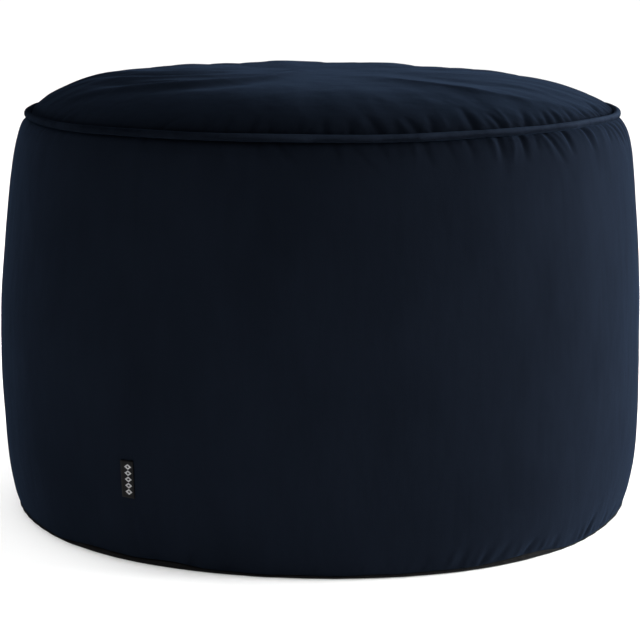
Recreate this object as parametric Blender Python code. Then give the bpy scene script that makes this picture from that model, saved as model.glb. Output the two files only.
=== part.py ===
"""A round velvet pouf, standing on the floor, in metres with +Z up.

The cover is sewn from a round top, a side band that is closed by one upright seam, and a round
base of dark plain cloth that turns up a little over its edge. A piped welt runs round the top
seam, and a small folded label is caught in the upright seam. The filling doesn't show, so each
panel is a solid that holds the filling behind it. Azimuth is measured from +X towards +Y, and
the front of the pouf faces -Y.
"""

from collections import namedtuple
from math import atan2, cos, degrees, exp, hypot, pi, radians, sin
from random import Random

import bmesh
import bpy
from mathutils import Vector

# Driving sizes
GAP = 0.0003  # between two neighbouring pieces
SEAM_HEIGHT = 0.3072  # of the top seam over the floor
SEAM_RADIUS = 0.2247  # of the stitch line of the top seam
WELT_RADIUS = 0.0028  # half the thickness of the piping
CROWN_RISE = 0.0294  # of the middle of the top over the top seam
BASE_SEAM_HEIGHT = 0.0036  # of the seam between side band and base
BASE_SEAM_RADIUS = 0.2406
UPRIGHT_SEAM_AZIMUTH = -122.6
UPRIGHT_SEAM_DEPTH = 0.0011
UPRIGHT_SEAM_WIDTH = 0.0032

LABEL_HEIGHT = 0.0275
LABEL_LENGTH = 0.0115  # from the upright seam to the folded end
LABEL_THICKNESS = 0.001
LABEL_CENTRE_HEIGHT = 0.0625
LABEL_LIFT = 0.0014  # of the folded end off the side band
LABEL_STEPS = 4

# Half sections, from the top seam outwards and down, and from the top seam inwards. Heights are
# over the floor for the side and over the seam for the top. Sideways is how far a row sits
# towards +X, because the filling has settled a little to one side.
SideRow = namedtuple("SideRow", "radius height sideways")
CrownRow = namedtuple("CrownRow", "radius height")

SIDE_SECTION = [
    SideRow(0.2256, 0.3050, 0.0013),
    SideRow(0.2278, 0.3040, 0.0013),
    SideRow(0.2308, 0.3018, 0.0013),
    SideRow(0.2342, 0.2965, 0.0016),
    SideRow(0.2370, 0.2885, 0.0019),
    SideRow(0.2394, 0.2780, 0.0020),
    SideRow(0.2416, 0.2620, 0.0017),
    SideRow(0.2439, 0.2400, 0.0013),
    SideRow(0.2464, 0.2100, 0.0009),
    SideRow(0.2488, 0.1750, 0.0003),
    SideRow(0.2500, 0.1400, 0.0),
    SideRow(0.2499, 0.1050, 0.0),
    SideRow(0.2490, 0.0750, 0.0005),
    SideRow(0.2481, 0.0500, 0.0008),
    SideRow(0.2470, 0.0340, 0.0009),
    SideRow(0.2453, 0.0215, 0.0009),
    SideRow(0.2436, 0.0130, 0.0008),
    SideRow(0.2421, 0.0080, 0.0008),
]
SIDE_ROWS_WITH_TOP_GATHERS = 7
SIDE_ROWS_WITH_BASE_GATHERS = 4
TOP_SIDEWAYS = 0.0013
BASE_SIDEWAYS = 0.0008

CROWN_SECTION = [
    CrownRow(0.2237, 0.0022),
    CrownRow(0.2213, 0.0051),
    CrownRow(0.2166, 0.0089),
    CrownRow(0.2092, 0.0130),
    CrownRow(0.2000, 0.0168),
    CrownRow(0.1890, 0.0203),
    CrownRow(0.1740, 0.0238),
    CrownRow(0.1540, 0.0266),
    CrownRow(0.1320, 0.0281),
    CrownRow(0.1060, 0.0289),
    CrownRow(0.0780, 0.0292),
    CrownRow(0.0480, CROWN_RISE),
    CrownRow(0.0200, CROWN_RISE),
]
CROWN_ROWS_WITH_GATHERS = 6

# The edge of the base: the radius, and the share of the base seam's height.
BaseRow = namedtuple("BaseRow", "radius share")

BASE_SECTION = [
    BaseRow(0.2407, 0.62),
    BaseRow(0.2399, 0.27),
    BaseRow(0.2379, 0.0),
]

# What makes the round seams and the outline a little uneven: turns is the number of swells in one
# round, size is half the swing, and azimuth is where one of them is highest.
Wave = namedtuple("Wave", "turns size azimuth")

TOP_SEAM_WAVES = [
    Wave(1, 0.0012, -80),
    Wave(2, 0.0004, -20),
    Wave(5, 0.0004, -40),
    Wave(11, 0.0002, -30),
]
BASE_SEAM_WAVES = [
    Wave(1, 0.0015, -160),
    Wave(2, 0.0010, -140),
    Wave(3, 0.0007, -150),
    Wave(13, 0.0003, -120),
]
OUTLINE_WAVES = [
    Wave(4, 0.0005, -50),
    Wave(6, 0.0003, 10),
]
BASE_OUTLINE_WAVES = [
    Wave(1, 0.0014, -60),
    Wave(3, 0.0014, -60),
    Wave(5, 0.0010, -60),
]
CROWN_WAVES = [
    Wave(1, 0.0045, 175),
]
SEAM_PULL = 0.050  # distance from the top seam within which the side band rises and falls with it
BASE_SPREAD = 0.060  # height within which the side band follows the outline of the base

# Soft folds of the top, each along a bent line in plan. Rise is below zero for a hollow.
Fold = namedtuple("Fold", "start bend end rise width")

CROWN_FOLDS = [
    Fold((-0.020, 0.010), (-0.050, -0.170), (-0.182, -0.078), 0.0040, 0.015),
    Fold((-0.047, -0.040), (-0.084, -0.131), (-0.168, -0.058), -0.0028, 0.011),
    Fold((-0.062, -0.030), (-0.092, -0.085), (-0.174, -0.034), 0.0020, 0.011),
    Fold((-0.080, -0.018), (-0.110, -0.054), (-0.172, -0.008), -0.0020, 0.012),
    Fold((-0.060, 0.012), (-0.117, -0.032), (-0.172, 0.016), 0.0016, 0.013),
    Fold((-0.050, 0.038), (-0.085, -0.001), (-0.150, 0.036), -0.0016, 0.013),
    Fold((0.025, -0.010), (0.085, -0.150), (0.200, -0.078), 0.0046, 0.015),
    Fold((0.058, 0.000), (0.094, -0.097), (0.182, -0.066), -0.0034, 0.013),
    Fold((0.060, 0.025), (0.110, -0.020), (0.185, -0.006), 0.0018, 0.018),
    Fold((0.020, 0.060), (0.060, 0.110), (0.080, 0.180), 0.0014, 0.018),
    Fold((-0.020, 0.065), (-0.040, 0.120), (-0.070, 0.180), 0.0014, 0.018),
    Fold((0.000, 0.070), (0.012, 0.130), (0.005, 0.185), -0.0014, 0.015),
    Fold((0.090, 0.050), (0.120, 0.080), (0.130, 0.130), -0.0014, 0.020),
    Fold((-0.090, 0.060), (-0.120, 0.080), (-0.140, 0.110), -0.0012, 0.020),
]
FOLD_STEPS = 10
FOLD_END_SHARE = 0.12  # how much of a fold is left at its ends, as a share of half a wave

# Gathers, where the cloth is drawn in at a seam. The visible ones are placed one by one, and the
# rest of the round is filled at an uneven spacing.
Gather = namedtuple("Gather", "azimuth width length depth")

SIDE_GATHERS = [
    Gather(-100.5, 0.0040, 0.022, 0.0010),
    Gather(-96.0, 0.0036, 0.026, 0.0018),
    Gather(-90.5, 0.0042, 0.022, 0.0009),
    Gather(-85.0, 0.0045, 0.026, 0.0012),
    Gather(-79.5, 0.0045, 0.022, 0.0009),
    Gather(-74.5, 0.0040, 0.028, 0.0014),
    Gather(-69.0, 0.0045, 0.028, 0.0014),
    Gather(-63.7, 0.0038, 0.026, 0.0014),
    Gather(-58.8, 0.0036, 0.030, 0.0022),
    Gather(-53.7, 0.0038, 0.034, 0.0027),
    Gather(-49.3, 0.0034, 0.026, 0.0018),
    Gather(-46.0, 0.0036, 0.036, 0.0028),
    Gather(-41.6, 0.0036, 0.032, 0.0025),
    Gather(-37.8, 0.0034, 0.024, 0.0016),
    Gather(-33.6, 0.0038, 0.034, 0.0025),
    Gather(-28.8, 0.0036, 0.028, 0.0018),
    Gather(-24.4, 0.0038, 0.034, 0.0024),
    Gather(-20.2, 0.0036, 0.026, 0.0017),
]
CROWN_GATHERS = [
    Gather(-108.5, 0.0044, 0.024, 0.0012),
    Gather(-104.0, 0.0040, 0.032, 0.0019),
    Gather(-101.4, 0.0036, 0.030, 0.0017),
    Gather(-96.5, 0.0044, 0.024, 0.0010),
    Gather(-92.0, 0.0042, 0.028, 0.0015),
    Gather(-89.0, 0.0042, 0.026, 0.0013),
    Gather(-85.3, 0.0045, 0.030, 0.0016),
    Gather(-81.4, 0.0048, 0.034, 0.0019),
    Gather(-77.2, 0.0042, 0.032, 0.0016),
    Gather(-74.0, 0.0042, 0.036, 0.0020),
    Gather(-70.9, 0.0044, 0.036, 0.0020),
    Gather(-64.6, 0.0050, 0.042, 0.0026),
    Gather(-57.9, 0.0046, 0.042, 0.0025),
    Gather(-52.2, 0.0044, 0.034, 0.0018),
    Gather(-46.4, 0.0044, 0.040, 0.0024),
    Gather(-43.6, 0.0038, 0.030, 0.0016),
    Gather(-38.5, 0.0044, 0.036, 0.0021),
    Gather(-33.8, 0.0040, 0.028, 0.0014),
    Gather(-29.5, 0.0042, 0.036, 0.0021),
]
BASE_GATHERS = [
    Gather(-119.0, 0.0060, 0.016, 0.0012),
    Gather(-113.0, 0.0040, 0.018, 0.0022),
    Gather(-106.0, 0.0060, 0.016, 0.0010),
    Gather(-97.0, 0.0070, 0.014, 0.0007),
    Gather(-88.0, 0.0070, 0.014, 0.0006),
    Gather(-80.0, 0.0070, 0.016, 0.0009),
    Gather(-73.5, 0.0060, 0.018, 0.0011),
    Gather(-68.0, 0.0050, 0.026, 0.0020),
    Gather(-63.4, 0.0050, 0.024, 0.0018),
    Gather(-58.0, 0.0050, 0.024, 0.0018),
    Gather(-52.0, 0.0050, 0.028, 0.0023),
    Gather(-46.8, 0.0055, 0.022, 0.0014),
    Gather(-41.0, 0.0055, 0.024, 0.0016),
    Gather(-34.8, 0.0050, 0.028, 0.0026),
    Gather(-28.0, 0.0055, 0.022, 0.0014),
]
TOP_GATHER_LEAN = 0.6  # sideways run of a gather for each metre away from its seam
BASE_GATHER_LEAN = 0.45
CROWN_GATHER_LEAN = -0.15
LEAN_CLEAR_OF_SEAM = 14  # degrees round the upright seam within which gathers stand upright
GATHER_BLUNTNESS = 0.7  # below 1, a gather is deepest in the half nearer to its seam
GATHER_REACH = 3  # widths from its line at which a gather has faded out

# How finely the solids are divided
BODY_COLUMNS = 72
CROWN_COLUMNS = 96
WELT_COLUMNS = 144
WELT_BEVEL_RESOLUTION = 2  # eight sides
BASE_COLUMNS = 96
WIDE_GATHER_STEP = 3.4  # degrees between gathers from which two columns fit in, not one
SHARP_ANGLE = 50


def turned(angle):
    """An angle brought between -180 and 180 degrees."""
    return (angle + 180) % 360 - 180


def swing(waves, azimuth):
    return sum(w.size * cos(w.turns * radians(azimuth - w.azimuth)) for w in waves)


def filled_round(placed, spacing, typical, seed):
    """The placed gathers, and more of them over the rest of the round at an uneven spacing."""
    chance = Random(seed)
    last_free = min(g.azimuth for g in placed) + 360 - 0.7 * spacing
    gathers = list(placed)
    azimuth = max(g.azimuth for g in placed) + spacing
    while azimuth < last_free:
        share = chance.uniform(0.55, 1.0)
        width = typical.width * chance.uniform(0.9, 1.2)
        gathers.append(Gather(turned(azimuth), width, typical.length * share, typical.depth * share))
        azimuth += spacing * chance.uniform(0.72, 1.28)
    return sorted(gathers)


SIDE_ROUND = filled_round(SIDE_GATHERS, 5.0, Gather(0, 0.0038, 0.032, 0.0023), 5)
CROWN_ROUND = filled_round(CROWN_GATHERS, 5.2, Gather(0, 0.0043, 0.036, 0.0021), 8)
BASE_ROUND = filled_round(BASE_GATHERS, 7.5, Gather(0, 0.0056, 0.024, 0.0018), 3)


def seam_height(azimuth):
    return SEAM_HEIGHT + swing(TOP_SEAM_WAVES, azimuth)


def base_seam_height(azimuth):
    return BASE_SEAM_HEIGHT + swing(BASE_SEAM_WAVES, azimuth)


def side_lean(lean, azimuth, distance, radius):
    """Degrees by which a side gather has moved round at a distance from its seam."""
    off_seam = turned(azimuth - UPRIGHT_SEAM_AZIMUTH) / LEAN_CLEAR_OF_SEAM
    return degrees(lean * (1 - exp(-off_seam * off_seam)) * distance / radius)


def gathered(gathers, azimuth, distance, radius):
    """How far the cloth is drawn in, at a distance from the seam that the gathers start at."""
    drawn = 0.0
    for gather in gathers:
        off = radians(turned(azimuth - gather.azimuth)) * radius / gather.width
        if abs(off) < GATHER_REACH and 0 < distance < gather.length:
            along = sin(pi * (distance / gather.length) ** GATHER_BLUNTNESS)
            drawn += gather.depth * exp(-off * off) * along
    return drawn


def fold_line(fold):
    """Points along the bent line of a fold, each with its share of the length."""
    start, bend, end = Vector(fold.start), Vector(fold.bend), Vector(fold.end)
    for step in range(FOLD_STEPS + 1):
        share = step / FOLD_STEPS
        yield share, start.lerp(bend, share).lerp(bend.lerp(end, share), share)


def fold_rise(x, y):
    """How much the folds raise or lower the top at a place in plan."""
    raised = 0.0
    for fold in CROWN_FOLDS:
        distance, share = min((hypot(x - p.x, y - p.y), share) for share, p in fold_line(fold))
        off = distance / fold.width
        along = sin(pi * (FOLD_END_SHARE + (1 - 2 * FOLD_END_SHARE) * share))
        raised += fold.rise * along * exp(-off * off)
    return raised


def on_round(radius, azimuth, height, sideways=0.0):
    turn = radians(azimuth)
    return Vector((radius * cos(turn) + sideways, radius * sin(turn), height))


def columns_at(gathers):
    """Azimuths with one column in each gather and one or two between neighbours."""
    columns = []
    for here, after in zip(gathers, gathers[1:] + gathers[:1]):
        step = (after.azimuth - here.azimuth) % 360
        parts = 3 if step > WIDE_GATHER_STEP else 2
        columns += [here.azimuth + step * part / parts for part in range(parts)]
    return columns


def with_upright_seam(columns):
    """The columns, with three that draw the groove of the upright seam."""
    half = degrees(UPRIGHT_SEAM_WIDTH / SIDE_SECTION[0].radius)
    kept = [a for a in columns if abs(turned(a - UPRIGHT_SEAM_AZIMUTH)) > 1.5 * half]
    groove = [UPRIGHT_SEAM_AZIMUTH + side * half for side in (-1, 0, 1)]
    return sorted(turned(a) for a in kept + groove)


def even_columns(count):
    return [-180 + 360 * i / count for i in range(count)]


def ring_turn(vert):
    return atan2(vert.co.y, vert.co.x)


def add_ring(mesh, points):
    return sorted((mesh.verts.new(point) for point in points), key=ring_turn)


def stitch(mesh, first, second):
    """Joins two rings with triangles, also where they have different numbers of points."""
    i = j = 0
    while i < len(first) or j < len(second):
        a, b = first[i % len(first)], second[j % len(second)]
        next_a, next_b = first[(i + 1) % len(first)], second[(j + 1) % len(second)]
        turn_a = ring_turn(next_a) + (2 * pi if i + 1 >= len(first) else 0)
        turn_b = ring_turn(next_b) + (2 * pi if j + 1 >= len(second) else 0)
        if j >= len(second) or (i < len(first) and turn_a <= turn_b):
            mesh.faces.new((a, next_a, b))
            i += 1
        else:
            mesh.faces.new((a, next_b, b))
            j += 1


def close_ring(mesh, ring, height):
    """Closes a ring with a fan of triangles round a point on the pouf's axis."""
    middle = mesh.verts.new((0, 0, height))
    for here, after in zip(ring, ring[1:] + ring[:1]):
        mesh.faces.new((here, after, middle))


def finished(name, mesh, material):
    """Turns the faces outwards and puts the piece into the scene."""
    bmesh.ops.recalc_face_normals(mesh, faces=mesh.faces)
    data = bpy.data.meshes.new(name)
    mesh.to_mesh(data)
    mesh.free()
    data.shade_smooth()
    data.set_sharp_from_angle(angle=radians(SHARP_ANGLE))
    data.materials.append(material)
    piece = bpy.data.objects.new(name, data)
    bpy.context.scene.collection.objects.link(piece)
    return piece


def cloth_material(name, colour, roughness, sheen):
    material = bpy.data.materials.new(name)
    material.use_nodes = True
    shader = material.node_tree.nodes["Principled BSDF"]
    shader.inputs["Base Color"].default_value = (*colour, 1)
    shader.inputs["Roughness"].default_value = roughness
    shader.inputs["Metallic"].default_value = 0
    shader.inputs["Sheen Weight"].default_value = sheen
    return material


def side_radius(row, azimuth):
    """The side band's radius at a row, uneven round the pouf but true at the top seam."""
    below_top = seam_height(azimuth) - row.height
    above_base = row.height - base_seam_height(azimuth)
    clear_of_seams = min(1.0, below_top / SEAM_PULL, above_base / SEAM_PULL)
    near_base = max(0.0, 1 - above_base / BASE_SPREAD)
    radius = row.radius + swing(OUTLINE_WAVES, azimuth) * clear_of_seams
    return radius + swing(BASE_OUTLINE_WAVES, azimuth) * near_base


def side_point(row, azimuth):
    """A point of the side band, drawn in by its gathers and its upright seam."""
    below_top = seam_height(azimuth) - row.height
    above_base = row.height - base_seam_height(azimuth)
    radius = side_radius(row, azimuth)
    top_level = azimuth - side_lean(TOP_GATHER_LEAN, azimuth, below_top, row.radius)
    radius -= gathered(SIDE_ROUND, top_level, below_top, row.radius)
    base_level = azimuth - side_lean(BASE_GATHER_LEAN, azimuth, above_base, row.radius)
    radius -= gathered(BASE_ROUND, base_level, above_base, row.radius)
    off = radians(turned(azimuth - UPRIGHT_SEAM_AZIMUTH)) * row.radius / UPRIGHT_SEAM_WIDTH
    radius -= UPRIGHT_SEAM_DEPTH * exp(-off * off)
    rides_seam = max(0.0, 1 - below_top / SEAM_PULL)
    height = row.height + swing(TOP_SEAM_WAVES, azimuth) * rides_seam
    return on_round(radius, azimuth, height, row.sideways)


def side_columns(index, row, at_top, at_base):
    """The azimuths of one row of the side band, moved round with the gathers that cross it."""
    if index < SIDE_ROWS_WITH_TOP_GATHERS:
        distance = SEAM_HEIGHT - row.height
        return [a + side_lean(TOP_GATHER_LEAN, a, distance, row.radius) for a in at_top]
    if index >= len(SIDE_SECTION) - SIDE_ROWS_WITH_BASE_GATHERS:
        distance = row.height - BASE_SEAM_HEIGHT
        return [a + side_lean(BASE_GATHER_LEAN, a, distance, row.radius) for a in at_base]
    return with_upright_seam(even_columns(BODY_COLUMNS))


def top_seam_point(azimuth, offset):
    return on_round(SEAM_RADIUS, azimuth, seam_height(azimuth) + offset, TOP_SIDEWAYS)


def base_seam_point(azimuth, offset):
    radius = BASE_SEAM_RADIUS + swing(BASE_OUTLINE_WAVES, azimuth)
    return on_round(radius, azimuth, base_seam_height(azimuth) + offset, BASE_SIDEWAYS)


def make_side_band(material):
    """The filled side of the pouf, from the base seam up to the welt."""
    mesh = bmesh.new()
    at_top = with_upright_seam(columns_at(SIDE_ROUND))
    at_base = with_upright_seam(columns_at(BASE_ROUND))
    rings = [add_ring(mesh, [top_seam_point(a, -GAP / 2) for a in at_top])]
    for index, row in enumerate(SIDE_SECTION):
        columns = side_columns(index, row, at_top, at_base)
        rings.append(add_ring(mesh, [side_point(row, a) for a in columns]))
    rings.append(add_ring(mesh, [base_seam_point(a, GAP / 2) for a in at_base]))
    for upper, lower in zip(rings, rings[1:]):
        stitch(mesh, upper, lower)
    close_ring(mesh, rings[0], SEAM_HEIGHT - GAP / 2)
    close_ring(mesh, rings[-1], BASE_SEAM_HEIGHT + GAP / 2)
    return finished("side_band", mesh, material)


def crown_slope(index):
    """The direction out of the top's section at one of its rows, as radial and upward parts."""
    inner = CROWN_SECTION[min(index + 1, len(CROWN_SECTION) - 1)]
    outer = CROWN_SECTION[index - 1] if index else CrownRow(SEAM_RADIUS, 0)
    run = Vector((outer.radius - inner.radius, outer.height - inner.height))
    return Vector((-run.y, run.x)).normalized()


def crown_point(index, azimuth):
    """A point of the round top, with its soft folds and its gathers."""
    row = CROWN_SECTION[index]
    from_seam = hypot(SEAM_RADIUS - row.radius, row.height)
    level = azimuth - degrees(CROWN_GATHER_LEAN * from_seam / row.radius)
    drawn_in = crown_slope(index) * -gathered(CROWN_ROUND, level, from_seam, row.radius)
    place = on_round(row.radius + drawn_in.x, azimuth, 0, TOP_SIDEWAYS)
    near_seam = (row.radius / SEAM_RADIUS) ** 4
    shoulder = row.height / CROWN_RISE * (row.radius / SEAM_RADIUS) ** 2
    place.z = SEAM_HEIGHT + GAP / 2 + row.height + drawn_in.y
    place.z += swing(TOP_SEAM_WAVES, azimuth) * near_seam + swing(CROWN_WAVES, azimuth) * shoulder
    place.z += fold_rise(place.x, place.y) * row.height / CROWN_RISE
    return place


def make_top_panel(material):
    """The crowned round top, from the welt inwards."""
    mesh = bmesh.new()
    fine = columns_at(CROWN_ROUND)
    coarse = even_columns(CROWN_COLUMNS)
    edge = add_ring(mesh, [top_seam_point(a, GAP / 2) for a in fine])
    rings = [edge]
    for index in range(len(CROWN_SECTION)):
        columns = fine if index < CROWN_ROWS_WITH_GATHERS else coarse
        rings.append(add_ring(mesh, [crown_point(index, a) for a in columns]))
    for outer, inner in zip(rings, rings[1:]):
        stitch(mesh, outer, inner)
    close_ring(mesh, rings[-1], SEAM_HEIGHT + GAP / 2 + CROWN_RISE + fold_rise(0, 0))
    close_ring(mesh, edge, SEAM_HEIGHT + GAP / 2)
    return finished("top_panel", mesh, material)


def make_welt(material):
    """The piping round the top seam, as one closed round cord."""
    line = bpy.data.curves.new("welt", "CURVE")
    line.dimensions = "3D"
    line.twist_mode = "Z_UP"
    line.bevel_depth = WELT_RADIUS
    line.bevel_resolution = WELT_BEVEL_RESOLUTION
    run = line.splines.new("POLY")
    run.points.add(WELT_COLUMNS - 1)
    run.use_cyclic_u = True
    run.use_smooth = True
    for point, azimuth in zip(run.points, even_columns(WELT_COLUMNS)):
        radius = SEAM_RADIUS + GAP + WELT_RADIUS
        point.co = (*on_round(radius, azimuth, seam_height(azimuth), TOP_SIDEWAYS), 1)
    line.materials.append(material)
    piece = bpy.data.objects.new("welt", line)
    bpy.context.scene.collection.objects.link(piece)
    return piece


def make_base_panel(material):
    """The round base with its low turned-up edge, flat where it stands on the floor."""
    mesh = bmesh.new()
    columns = even_columns(BASE_COLUMNS)
    rings = [add_ring(mesh, [base_seam_point(a, -GAP / 2) for a in columns])]
    for row in BASE_SECTION:
        ring = []
        for azimuth in columns:
            radius = row.radius + swing(BASE_OUTLINE_WAVES, azimuth)
            height = row.share * base_seam_height(azimuth)
            ring.append(on_round(radius, azimuth, height, BASE_SIDEWAYS))
        rings.append(add_ring(mesh, ring))
    for upper, lower in zip(rings, rings[1:]):
        stitch(mesh, upper, lower)
    close_ring(mesh, rings[0], BASE_SEAM_HEIGHT - GAP / 2)
    close_ring(mesh, rings[-1], 0)
    return finished("base_panel", mesh, material)


def side_row_at(height):
    """The side band's section at a height between two of its rows."""
    for upper, lower in zip(SIDE_SECTION, SIDE_SECTION[1:]):
        if lower.height <= height <= upper.height:
            share = (height - lower.height) / (upper.height - lower.height)
            radius = lower.radius + share * (upper.radius - lower.radius)
            return SideRow(radius, height, lower.sideways)
    raise ValueError(f"no side band at height {height}")


def make_label(material):
    """The folded label, which leaves the upright seam and lies towards the left of the front."""
    mesh = bmesh.new()
    rings = []
    for step in range(LABEL_STEPS + 1):
        share = step / LABEL_STEPS
        corners = []
        for height in (-LABEL_HEIGHT / 2, LABEL_HEIGHT / 2):
            row = side_row_at(LABEL_CENTRE_HEIGHT + height)
            azimuth = UPRIGHT_SEAM_AZIMUTH - degrees(LABEL_LENGTH * share / row.radius)
            inner = side_radius(row, azimuth) + 2 * GAP + LABEL_LIFT * share * share
            for radius in (inner, inner + LABEL_THICKNESS):
                corners.append(on_round(radius, azimuth, row.height, row.sideways))
        low_in, low_out, high_in, high_out = [mesh.verts.new(corner) for corner in corners]
        rings.append((low_in, low_out, high_out, high_in))
    for near, far in zip(rings, rings[1:]):
        for k in range(len(near)):
            mesh.faces.new((near[k], near[k - 1], far[k - 1], far[k]))
    mesh.faces.new(rings[0])
    mesh.faces.new(reversed(rings[-1]))
    return finished("side_label", mesh, material)


def main():
    for thing in list(bpy.data.objects):
        bpy.data.objects.remove(thing)

    velvet = cloth_material("navy_velvet", (0.006, 0.012, 0.026), 0.85, 0.6)
    piping = cloth_material("navy_velvet_piping", (0.007, 0.013, 0.028), 0.8, 0.6)
    base_cloth = cloth_material("charcoal_base_cloth", (0.014, 0.014, 0.014), 0.7, 0.0)
    label_satin = cloth_material("black_satin", (0.012, 0.012, 0.013), 0.5, 0.0)

    make_side_band(velvet)
    make_top_panel(velvet)
    make_welt(piping)
    make_base_panel(base_cloth)
    make_label(label_satin)


main()
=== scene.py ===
from collections import namedtuple
from math import cos, pi, radians, sin
from random import Random

import bmesh
import bpy
import numpy as np
from mathutils import Matrix, Vector, noise
from mathutils.kdtree import KDTree


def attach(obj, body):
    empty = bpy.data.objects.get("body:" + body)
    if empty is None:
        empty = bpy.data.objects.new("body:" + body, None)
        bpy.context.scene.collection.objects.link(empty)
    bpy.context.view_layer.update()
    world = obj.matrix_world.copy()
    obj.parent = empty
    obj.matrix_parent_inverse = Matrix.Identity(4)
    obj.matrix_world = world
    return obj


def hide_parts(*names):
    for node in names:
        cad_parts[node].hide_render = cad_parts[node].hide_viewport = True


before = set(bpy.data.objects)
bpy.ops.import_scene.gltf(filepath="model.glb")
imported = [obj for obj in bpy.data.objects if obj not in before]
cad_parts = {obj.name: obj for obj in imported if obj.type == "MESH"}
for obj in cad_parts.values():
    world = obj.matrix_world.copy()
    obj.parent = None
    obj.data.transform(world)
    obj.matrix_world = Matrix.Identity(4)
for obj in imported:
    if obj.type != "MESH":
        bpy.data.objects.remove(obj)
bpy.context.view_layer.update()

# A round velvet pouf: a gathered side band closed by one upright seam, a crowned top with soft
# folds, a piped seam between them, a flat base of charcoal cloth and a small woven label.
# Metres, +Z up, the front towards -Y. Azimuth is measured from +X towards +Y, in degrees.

# Driving sizes, the same as the solids'
GAP = 0.0003
SEAM_HEIGHT = 0.3072
SEAM_RADIUS = 0.2247
WELT_RADIUS = 0.0028
CROWN_RISE = 0.0294
BASE_SEAM_HEIGHT = 0.0036
BASE_SEAM_RADIUS = 0.2406
TOP_SIDEWAYS = 0.0013
BASE_SIDEWAYS = 0.0008
UPRIGHT_SEAM_AZIMUTH = -122.6

# Half sections of the side band, from the top seam down, and of the top, from the seam inwards.
SideRow = namedtuple("SideRow", "radius height sideways")
CrownRow = namedtuple("CrownRow", "radius height")

SIDE_SECTION = [
    SideRow(0.2247, 0.3072, 0.0013),
    SideRow(0.2256, 0.3050, 0.0013),
    SideRow(0.2278, 0.3040, 0.0013),
    SideRow(0.2308, 0.3018, 0.0013),
    SideRow(0.2342, 0.2965, 0.0016),
    SideRow(0.2370, 0.2885, 0.0019),
    SideRow(0.2394, 0.2780, 0.0020),
    SideRow(0.2416, 0.2620, 0.0017),
    SideRow(0.2439, 0.2400, 0.0013),
    SideRow(0.2464, 0.2100, 0.0009),
    SideRow(0.2488, 0.1750, 0.0003),
    SideRow(0.2500, 0.1400, 0.0),
    SideRow(0.2499, 0.1050, 0.0),
    SideRow(0.2490, 0.0750, 0.0005),
    SideRow(0.2481, 0.0500, 0.0008),
    SideRow(0.2470, 0.0340, 0.0009),
    SideRow(0.2453, 0.0215, 0.0009),
    SideRow(0.2436, 0.0130, 0.0008),
    SideRow(0.2421, 0.0080, 0.0008),
    SideRow(0.2406, 0.0036, 0.0008),
]
CROWN_SECTION = [
    CrownRow(0.2247, 0.0),
    CrownRow(0.2237, 0.0022),
    CrownRow(0.2213, 0.0051),
    CrownRow(0.2166, 0.0089),
    CrownRow(0.2092, 0.0130),
    CrownRow(0.2000, 0.0168),
    CrownRow(0.1890, 0.0203),
    CrownRow(0.1740, 0.0238),
    CrownRow(0.1540, 0.0266),
    CrownRow(0.1320, 0.0281),
    CrownRow(0.1060, 0.0289),
    CrownRow(0.0780, 0.0292),
    CrownRow(0.0480, CROWN_RISE),
    CrownRow(0.0200, CROWN_RISE),
    CrownRow(0.0, CROWN_RISE),
]

# Swells round the seams and the outline: turns in one round, half the swing, and the azimuth
# where one of them is highest.
Wave = namedtuple("Wave", "turns size azimuth")

TOP_SEAM_WAVES = [
    Wave(1, 0.0012, -80), Wave(2, 0.0004, -20), Wave(5, 0.0004, -40), Wave(11, 0.0002, -30),
]
OUTLINE_WAVES = [
    Wave(1, 0.0002, 180), Wave(2, 0.0008, 0), Wave(4, 0.0004, -50), Wave(6, 0.0003, 10),
]
BASE_OUTLINE_WAVES = [Wave(1, 0.0014, -60), Wave(3, 0.0014, -60), Wave(5, 0.0010, -60)]
CROWN_WAVES = [Wave(1, 0.0045, 175)]
SEAM_PULL = 0.050
BASE_SPREAD = 0.060
BASE_SEAM_PULL = 0.018  # height over the base seam that rises and falls with it

# Height of the base seam round the pouf, where the base cloth turns up more or less.
SeamPlace = namedtuple("SeamPlace", "azimuth height")

BASE_SEAM = [
    SeamPlace(-165.0, 0.0042), SeamPlace(-152.0, 0.0032), SeamPlace(-143.7, 0.0023),
    SeamPlace(-138.5, 0.0043), SeamPlace(-134.0, 0.0057), SeamPlace(-130.0, 0.0052),
    SeamPlace(-126.2, 0.0051), SeamPlace(-124.4, 0.0042), SeamPlace(-121.0, 0.0054),
    SeamPlace(-116.2, 0.0060), SeamPlace(-113.2, 0.0049), SeamPlace(-110.2, 0.0033),
    SeamPlace(-105.0, 0.0035), SeamPlace(-100.4, 0.0024), SeamPlace(-95.0, 0.0033),
    SeamPlace(-87.0, 0.0025), SeamPlace(-81.6, 0.0035), SeamPlace(-76.8, 0.0027),
    SeamPlace(-72.0, 0.0036), SeamPlace(-65.4, 0.0029), SeamPlace(-58.5, 0.0044),
    SeamPlace(-52.3, 0.0056), SeamPlace(-49.0, 0.0053), SeamPlace(-45.4, 0.0030),
    SeamPlace(-41.4, 0.0018), SeamPlace(-33.0, 0.0022), SeamPlace(-20.0, 0.0036),
    SeamPlace(0.0, 0.0042), SeamPlace(20.0, 0.0030), SeamPlace(45.0, 0.0046),
    SeamPlace(70.0, 0.0032), SeamPlace(95.0, 0.0044), SeamPlace(120.0, 0.0030),
    SeamPlace(150.0, 0.0046), SeamPlace(178.0, 0.0034),
]

# Where the lower edge of the side band is drawn in under the pouf.
Tuck = namedtuple("Tuck", "azimuth spread depth")

BASE_TUCKS = [Tuck(-28.0, 17.0, 0.0021), Tuck(-150.0, 17.0, 0.0019)]
SHOULDER_TUCK = 0.0016  # how much lower the top's shoulder sits at the left and the right

# Soft folds of the top, each along a bent line in plan. Rise is below zero for a hollow.
Fold = namedtuple("Fold", "start bend end rise width")

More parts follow.
